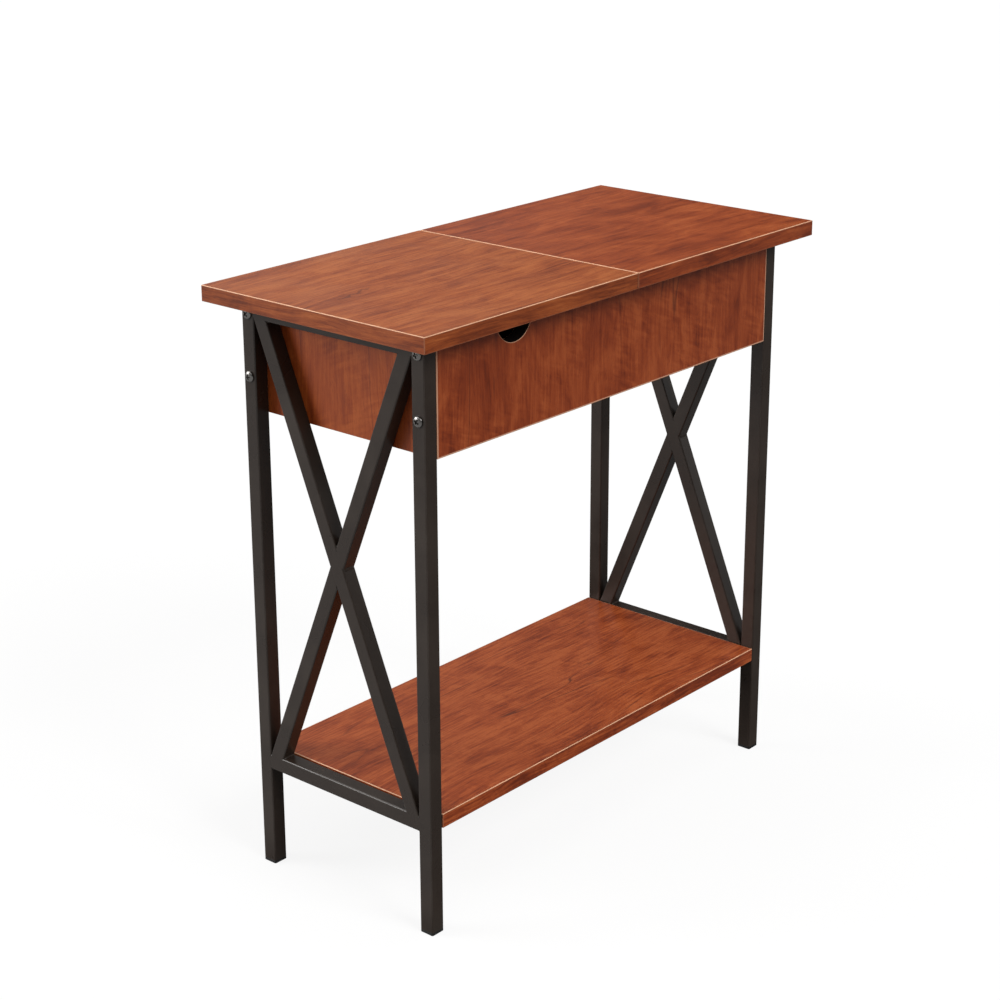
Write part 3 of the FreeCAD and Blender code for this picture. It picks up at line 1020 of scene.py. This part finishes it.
def makeGroundWelds(shape=fillShape):
    deep, proud, gap = (shape[key] * mm for key in ("deep", "proud", "cornerGap"))
    side = tubeShape["side"] * mm
    half = side / 2
    for name, line in braceLines.items():
        reach = half - shape["flush"] * mm
        low, high = line["middle"][0] - reach, line["middle"][0] + reach
        foot = side / math.cos(line["angle"])
        quads = []
        for y, into in ((line["near"], -1), (line["far"], 1)):
            # the rails' ends on a leg
            for z in (line["bottom"] - half, line["top"] + half):
                quads.append(rectangle(y + into * deep, y - into * proud, z - half + gap, z + half - gap))
            # the braces' feet on the rails
            feet = (y - into * shape["footIn"] * mm, y - into * (foot - gap))
            for z, down in ((line["bottom"], -1), (line["top"], 1)):
                quads.append(rectangle(*feet, z + down * deep, z - down * proud))
        # the halves on the through brace; a half's edges slip by so much per unit of depth
        along = np.array([math.sin(line["angle"]), math.cos(line["angle"])])
        square = np.array([math.cos(line["angle"]), -math.sin(line["angle"])])
        slipRate = math.tan(math.pi / 2 - 2 * line["angle"])
        under, over = half - deep, half + proud
        for flip in (1, -1):
            corners = []
            for depth, end in ((under, -1), (over, -1), (over, 1), (under, 1)):
                slip = depth * slipRate + end * shape["crossing"] * mm
                corners.append(tuple(line["middle"][1:] + flip * (depth * square - slip * along)))
            quads.append(corners)
        parts = [prism(quad, 0, low, high) for quad in quads]
        framePiece(name + "_ground_welds", parts, creaseAngle=30.0)


makeGroundWelds()

# Weld beads in the inner corners of the frames, small and a little rippled
beadShape = {
    "leg": 1.7, "ripple": 0.16, "pitch": 1.25, "rows": 34, "arc": 6, "inset": 1.1, "sink": 0.25,
    "blunt": 7, "endTaper": 0.02,  # the ends close to the square root of endTaper
}


def bead(corner, first, second, start, end, shape=beadShape):
    # section: the corner point, then corner + r * (first * cos t + second * sin t), t from 0 to 90 degrees;
    # r = leg * sqrt(1 - |share|^blunt) + ripple * |sin|, carried along X
    first, second = np.array(first, float), np.array(second, float)
    place = np.linspace(start, end, shape["rows"])
    share = np.linspace(-1.0, 1.0, shape["rows"])
    taper = np.clip(1.0 - np.abs(share) ** shape["blunt"], shape["endTaper"], None)
    radius = shape["leg"] * mm * np.sqrt(taper)
    radius = radius + shape["ripple"] * mm * np.abs(np.sin(np.pi * (place - start) / (shape["pitch"] * mm)))
    turn = np.linspace(0.0, np.pi / 2, shape["arc"])
    spread = np.cos(turn)[:, None] * first + np.sin(turn)[:, None] * second
    spread = np.concatenate([[-(first + second) * shape["sink"]], spread])
    rows = np.array(corner)[None, None, :] + radius[:, None, None] * spread[None, :, :]
    rows[:, :, 0] = place[:, None]
    return rows.reshape(-1, 3), closedFaces(shape["rows"], len(spread))


def makeBeads():
    tubeSide = tubeShape["side"] * mm
    for side, line in braceLines.items():
        centre = line["middle"]
        reach = tubeSide / 2 - beadShape["inset"] * mm
        span = (centre[0] - reach, centre[0] + reach)
        lean = np.array([0.0, math.sin(line["angle"]), math.cos(line["angle"])])
        foot = tubeSide / math.cos(line["angle"])
        parts = []
        for y, flip in ((line["near"], 1), (line["far"], -1)):
            # on both sides of the braces' feet on the rails, and in the leg's corner under the bottom rail
            for z, up in ((line["bottom"], 1), (line["top"], -1)):
                brace = lean * (1, flip, up)
                parts.append(bead((0, y + flip * foot, z), (0, flip, 0), brace, *span))
                parts.append(bead((0, y, z), (0, 0, up), brace, *span))
            parts.append(bead((0, y, line["bottom"] - tubeSide), (0, flip, 0), (0, 0, -1), *span))
        # the four inner corners of the crossing
        other = lean * (1, -1, 1)
        across = tubeSide / 2 / math.cos(line["angle"])
        upDown = tubeSide / 2 / math.sin(line["angle"])
        for sign in (1, -1):
            parts.append(bead(centre + (0, 0, sign * upDown), sign * lean, sign * other, *span))
            parts.append(bead(centre + (0, sign * across, 0), sign * lean, -sign * other, *span))
        framePiece(f"{side}_weld_beads", parts, creaseAngle=60.0)


makeBeads()
sayStage("beads run")


# Screws: one closed surface from the tip, up the shank, round the head and down the cross recess, in mm
boltShape = {
    "shank": 6.0, "length": 48.0, "head": 11.0, "height": 3.0, "dome": 2.8, "edge": 0.5,
    "recess": 3.0, "slot": 0.85, "depth": 2.1,
}
smallScrewShape = {
    "shank": 3.2, "length": 11.0, "head": 7.0, "height": 2.1, "dome": 3.0, "edge": 0.45,
    "recess": 2.0, "slot": 0.5, "depth": 1.2,
}
screwCut = {
    "point": 0.02,  # radius where the surface closes
    "tip": 0.36, "tipRise": 1.0, "shankRise": 2.5,  # the blunt end: a share of the shank, and two heights
    "rim": 0.15, "rimShare": 0.7, "shoulder": 0.992,
    "crown": (1.0, 0.97, 0.93, 0.87, 0.78, 0.66, 0.5, 0.3, 0.12, 0.0),  # rows from the rim to the recess
    "lip": 0.96, "lipDrop": 0.12,
    "wall": 0.72, "wallDeep": 0.82, "floor": 0.396, "floorDeep": 1.12,  # the recess, as shares
    "steps": 5,
}


def crossOutline(turn, recess, slot):
    # distance from the middle to the edge of a plus sign: the nearer of an arm's end and its side
    turn = (turn + np.pi / 4) % (np.pi / 2) - np.pi / 4
    side = slot / np.maximum(np.abs(np.sin(turn)), 1e-6)
    return np.minimum(recess / np.cos(turn), side)


def screwRows(shape, turn, cut=screwCut):
    # (radius, height above the seat) pairs, where a radius may follow the cross instead of a circle
    cross = crossOutline(turn, shape["recess"], shape["slot"])
    reach, height, edge, depth = shape["head"] / 2, shape["height"], shape["edge"], shape["depth"]

    def dome(radius):
        # flat in the middle, then a round shoulder to the rim: edge + crown * sqrt(1 - (radius / reach)^dome)
        return edge + (height - edge) * np.sqrt(np.clip(1.0 - (radius / reach) ** shape["dome"], 0.0, 1.0))

    rows = [
        (cut["point"], -shape["length"]),
        (shape["shank"] * cut["tip"], cut["tipRise"] - shape["length"]),
        (shape["shank"] / 2, cut["shankRise"] - shape["length"]),
        (shape["shank"] / 2, 0.0),
        (reach - cut["rim"], 0.0),
        (reach, cut["rim"]),
        (reach, edge * cut["rimShare"]),
    ]
    for share in cut["crown"]:
        radius = cross + (reach * cut["shoulder"] - cross) * share
        rows.append((radius, dome(radius)))
    rows.append((cross * cut["lip"], dome(cross) - cut["lipDrop"]))
    rows.append((cross * cut["wall"], dome(cross) - depth * cut["wallDeep"]))
    rows.append((cross * cut["floor"], height - depth))
    rows.append((cut["point"], height - depth * cut["floorDeep"]))
    return [[np.broadcast_to(part, turn.shape) for part in row] for row in rows]


def screw(seat, outward, shape, spin=0.0):
    # seat + radius * (first * cos t + second * sin t) + height * outward, t closer at the recess's corners
    corner = math.atan2(shape["slot"], shape["recess"])
    stops = (-np.pi / 4, -corner, corner, np.pi / 4)
    steps = [np.linspace(start, end, screwCut["steps"])[:-1] for start, end in zip(stops, stops[1:])]
    turn = (np.concatenate(steps) + (np.arange(4) * np.pi / 2)[:, None]).ravel()
    rows = np.array(screwRows(shape, turn)) * mm
    radius, rise = rows[:, 0, :, None], rows[:, 1, :, None]
    outward = np.array(outward, float)
    first = np.array([0.0, 0.0, 1.0]) if abs(outward[2]) < 0.5 else np.array([1.0, 0.0, 0.0])
    second = np.cross(outward, first)
    angle = (turn + spin)[:, None]
    around = np.cos(angle) * first + np.sin(angle) * second
    points = np.array(seat) + radius * around + rise * outward
    return points.reshape(-1, 3), closedFaces(len(rows), len(turn))


boltWork = {"drops": (12.0, 74.0), "spins": (0.35, 1.1, 0.75, 0.15, 0.55, 1.3, 0.95, 0.2)}


def makeBolts():
    # two through each leg: their seats are on the legs' outer faces, below the top
    parts = []
    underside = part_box("front_panel")[1].z
    spins = iter(boltWork["spins"])
    for side, sign in (("left", -1.0), ("right", 1.0)):
        for place in ("front", "back"):
            low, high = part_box(f"{side}_{place}_leg")
            x = low.x if sign < 0 else high.x
            for drop in boltWork["drops"]:
                seat = (x, (low.y + high.y) / 2, underside - drop * mm)
                parts.append(screw(seat, (sign, 0, 0), boltShape, next(spins)))
    nickel = [metal["darkNickel"]]
    makePiece("frame_bolts_crossed", parts, nickel, tableBody, ["frame_bolts"], 38.0)


makeBolts()


# Places of the small screws in mm from the edges of the metal that they hold; turns are radians per metre,
# so that no two screws' crosses stand alike
screwPlaces = {
    "plate": {"along": (8.0, 25.0), "up": 6.5, "turns": 90.0},
    "arm": {"along": (9.0, 36.0), "across": 12.0, "sheet": 3.0, "turns": 70.0},
    "bracket": {"along": 9.0, "reach": 12.0, "sheet": 2.0, "sideTurns": 50.0, "topTurns": 40.0},
    "tab": {"inset": 12.0, "turns": 60.0},
}


def makeSmallScrews():
    # into the boards from hinge plates, arm flanges, brackets and shelf tabs
    fixed, moving = [], []
    down = (0, 0, -1)
    plate, arm, bracket, tab = screwPlaces.values()
    for place, inward in (("front", 1.0), ("back", -1.0)):
        low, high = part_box(f"hinge_plate_{place}")
        face = high.y if inward > 0 else low.y
        for x in (low.x + along * mm for along in plate["along"]):
            seat = (x, face, low.z + plate["up"] * mm)
            fixed.append(screw(seat, (0, inward, 0), smallScrewShape, x * plate["turns"]))
        low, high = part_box(f"hinge_arm_{place}")
        y = (low.y if inward > 0 else high.y) + inward * arm["across"] * mm
        for x in (low.x + along * mm for along in arm["along"]):
            moving.append(screw((x, y, high.z - arm["sheet"] * mm), down, smallScrewShape, x * arm["turns"]))
    low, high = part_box("top_brackets")
    reach, sheet = bracket["reach"] * mm, bracket["sheet"] * mm
    for x in (low.x + bracket["along"] * mm, high.x - bracket["along"] * mm):
        for y, inward in ((low.y, 1.0), (high.y, -1.0)):
            side, top = (x, y + inward * sheet, high.z - reach), (x, y + inward * reach, high.z - sheet)
            fixed.append(screw(side, (0, inward, 0), smallScrewShape, x * bracket["sideTurns"]))
            fixed.append(screw(top, down, smallScrewShape, x * bracket["topTurns"]))
    low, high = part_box("shelf_tabs")
    inset = tab["inset"] * mm
    for x in (low.x + inset, high.x - inset):
        for y in (low.y + inset, high.y - inset):
            fixed.append(screw((x, y, low.z), down, smallScrewShape, y * tab["turns"]))
    makePiece("small_screws", fixed, [metal["zincPlate"]], tableBody, (), 38.0)
    makePiece("lid_screws", moving, [metal["zincPlate"]], lidBody, (), 38.0)


makeSmallScrews()
sayStage("screws driven")


# Pressed and turned metal parts, and the plugs: the CAD solid with its edges eased by so many mm
hinge = {"look": metal["hingeSteel"], "slot": "hinge_steel"}
easedParts = {
    "hinge_plate_front": {**hinge, "ease": 0.30},
    "hinge_plate_back": {**hinge, "ease": 0.30},
    "hinge_arm_front": {**hinge, "ease": 0.35, "body": lidBody},
    "hinge_arm_back": {**hinge, "ease": 0.35, "body": lidBody},
    "hinge_studs": {"look": metal["zincPlate"], "slot": "zinc_steel", "ease": 0.35},
    "top_brackets": {"look": metal["zincPlate"], "slot": "zinc_steel", "ease": 0.30},
    "shelf_tabs": {"look": coats["blackPowderCoat"], "slot": "black_frame", "ease": 0.30},
    "foot_plugs": {"look": coats["mouldedPlug"], "slot": "black_plastic", "ease": 0.45},
    "leg_top_plugs": {"look": coats["mouldedPlug"], "slot": "black_plastic", "ease": 0.30},
}


def easedCopy(node, work):
    # the CAD solid's own triangles, merged into whole faces, with a small round on every edge
    shell = bmesh.new()
    shell.from_mesh(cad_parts[node].data)
    bmesh.ops.remove_doubles(shell, verts=shell.verts, dist=1e-6)
    flat = math.radians(0.5)  # neighbours that turn by less are one face
    bmesh.ops.dissolve_limit(shell, angle_limit=flat, verts=shell.verts, edges=shell.edges)
    mesh = bpy.data.meshes.new(node + "_eased")
    shell.to_mesh(mesh)
    shell.free()
    mesh.materials.clear()
    mesh.materials.append(work["look"])
    mesh.shade_smooth()
    mesh.set_sharp_from_angle(angle=sharpFrom)
    piece = addObject(node + "_eased", mesh)
    softenArrises(piece, work["ease"] * mm, 2)
    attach(piece, work.get("body", tableBody))
    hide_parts(node)


for node, work in easedParts.items():
    easedCopy(node, work)
sayStage("fittings eased")

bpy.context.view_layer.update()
sayStage("ready")
